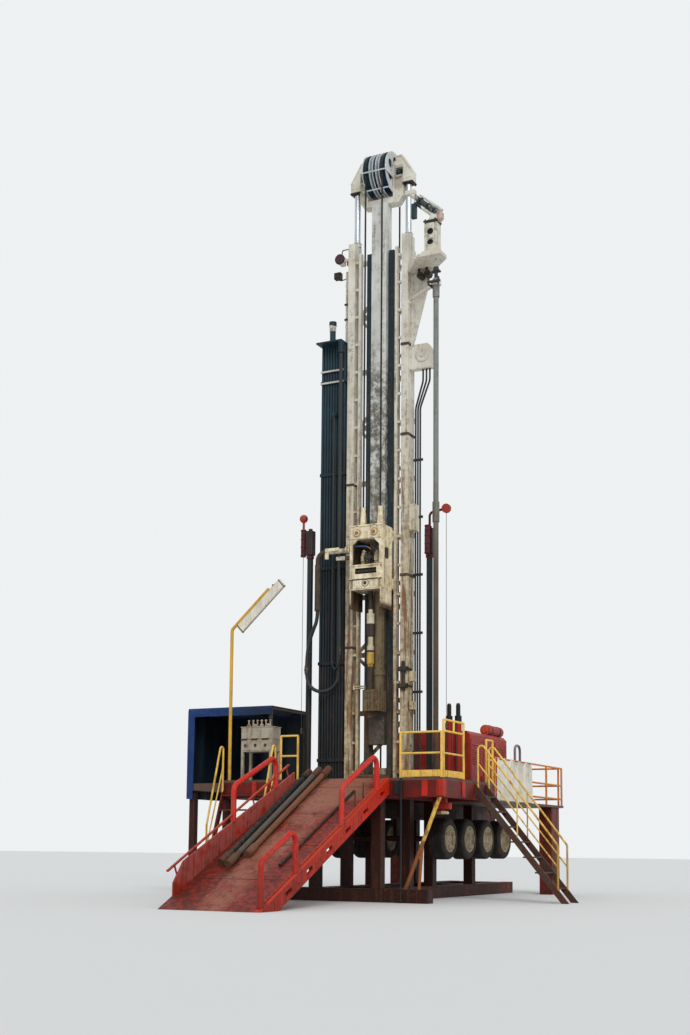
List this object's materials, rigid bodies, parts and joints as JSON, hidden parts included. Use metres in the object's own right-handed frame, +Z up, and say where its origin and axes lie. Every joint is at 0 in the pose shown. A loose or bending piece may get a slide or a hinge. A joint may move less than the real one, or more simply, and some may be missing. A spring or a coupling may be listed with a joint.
{
  "type": "hydraulic drilling rig",
  "caption": "Drilling rig with a telescoping two-post mast, travelling top drive, raised drill floor on a substructure, pipe ramp, stairs, davits, shelter and trailer machinery.",
  "frame": {"origin": "on the ground under the foot of the mast, in the middle of the base beam's underside", "axes": "+X to the right of the machine, +Y back along the trailer, +Z up"},
  "size_m": [9.8749, 14.3, 18.8225],
  "materials": {
    "cream_paint": "satin",
    "white_paint": "satin",
    "red_paint": "satin",
    "dark_red_paint": "satin",
    "orange_paint": "satin",
    "yellow_paint": "satin",
    "worn_deck": "matte",
    "teal_paint": "satin",
    "dark_steel": "matte",
    "rusty_steel": "matte",
    "chromed_rod": "polished",
    "wire_rope": "matte",
    "tyre_rubber": "matte",
    "hose_rubber": "matte",
    "grey_paint": "satin",
    "blue_cloth": "matte",
    "white_cloth": "matte"
  },
  "bodies": {
    "root": {"base_frame": "dark_red_paint", "columns": "dark_red_paint", "floor_frame": "dark_red_paint", "floor_plates": "worn_deck", "rotary_table": "rusty_steel", "ramp_deck": "worn_deck", "ramp_sides": "red_paint", "ramp_guards": "red_paint", "ramp_pipes": "rusty_steel", "right_stair": "dark_red_paint", "left_stair": "dark_red_paint", "stair_rails": "yellow_paint", "floor_rails": "yellow_paint", "floor_props": "yellow_paint", "trailer_frame": "dark_red_paint", "wheels_left": "tyre_rubber", "walkway_rails": "orange_paint", "banner": "white_cloth", "power_pack": "red_paint", "exhaust_hoops": "grey_paint", "raising_cylinders": "red_paint", "shelter_frame": "dark_steel", "shelter_tarp": "blue_cloth", "control_cabinet": "grey_paint", "light_pole": "yellow_paint", "mast_posts": "cream_paint", "mast_rails": "teal_paint", "mast_back_bracing": "cream_paint", "anchor_ropes": "wire_rope", "hose_bank": "teal_paint", "mud_hose_fixed": "hose_rubber", "service_hose_fixed": "hose_rubber", "davit_posts": "teal_paint", "mast_arms": "cream_paint", "jib_arm": "white_paint", "standing_pipe": "rusty_steel", "mast_fittings": "white_paint", "hose_run": "hose_rubber"},
    "crown": {"lift_column": "cream_paint", "crown_frame": "cream_paint", "hoist_rods": "chromed_rod", "rope_wraps": "wire_rope", "hoist_ropes": "wire_rope", "mud_hose_moving": "hose_rubber", "service_hose_moving": "hose_rubber"},
    "sheaves": {"crown_sheaves": "teal_paint"},
    "carriage": {"carriage_frame": "cream_paint", "top_drive_motors": "cream_paint", "pipe_handler": "dark_steel", "carriage_gooseneck": "cream_paint"},
    "quill": {"quill": "rusty_steel"},
    "davit_left": {"davit_head_left": "red_paint", "davit_line_left": "wire_rope"},
    "davit_right": {"davit_head_right": "red_paint", "davit_line_right": "wire_rope"},
    "wheel_1": {"wheel_right_1": "tyre_rubber"},
    "wheel_2": {"wheel_right_2": "tyre_rubber"},
    "wheel_3": {"wheel_right_3": "tyre_rubber"},
    "wheel_4": {"wheel_right_4": "tyre_rubber"}
  },
  "joints": [
    {"name": "mast_lift", "type": "slide", "parent": "root", "child": "crown", "axis": [0, 0, 1], "range_m": [-0.7, 3], "deforming": ["anchor_ropes", "mud_hose_fixed", "service_hose_fixed"]},
    {"name": "carriage_travel", "type": "slide", "parent": "crown", "child": "carriage", "axis": [0, 0, 1], "range_m": [-0.7, 3], "deforming": ["hoist_ropes", "mud_hose_moving", "service_hose_moving"]},
    {"name": "quill_spin", "type": "hinge", "parent": "carriage", "child": "quill", "pos_m": [0, -0.42, 6], "axis": [0, 0, 1], "continuous": true},
    {"name": "sheave_spin", "type": "hinge", "parent": "crown", "child": "sheaves", "pos_m": [0, 0.14, 18.27], "axis": [1, 0, 0], "continuous": true},
    {"name": "davit_left_swing", "type": "hinge", "parent": "root", "child": "davit_left", "pos_m": [-1.8, -0.2, 8.4], "axis": [0, 0, 1], "range_deg": [-90, 45]},
    {"name": "davit_right_swing", "type": "hinge", "parent": "root", "child": "davit_right", "pos_m": [1.57, -0.45, 8.1], "axis": [0, 0, 1], "range_deg": [0, 90]},
    {"name": "wheel_spin_1", "type": "hinge", "parent": "root", "child": "wheel_1", "pos_m": [1.35, 0.85, 1.45], "axis": [1, 0, 0], "continuous": true},
    {"name": "wheel_spin_2", "type": "hinge", "parent": "root", "child": "wheel_2", "pos_m": [1.35, 2.1, 1.45], "axis": [1, 0, 0], "continuous": true},
    {"name": "wheel_spin_3", "type": "hinge", "parent": "root", "child": "wheel_3", "pos_m": [1.35, 3.35, 1.45], "axis": [1, 0, 0], "continuous": true},
    {"name": "wheel_spin_4", "type": "hinge", "parent": "root", "child": "wheel_4", "pos_m": [1.35, 4.6, 1.45], "axis": [1, 0, 0], "continuous": true}
  ],
  "couplings": [
    {"joint": "carriage_travel", "follows": "mast_lift", "ratio": 1}
  ]
}
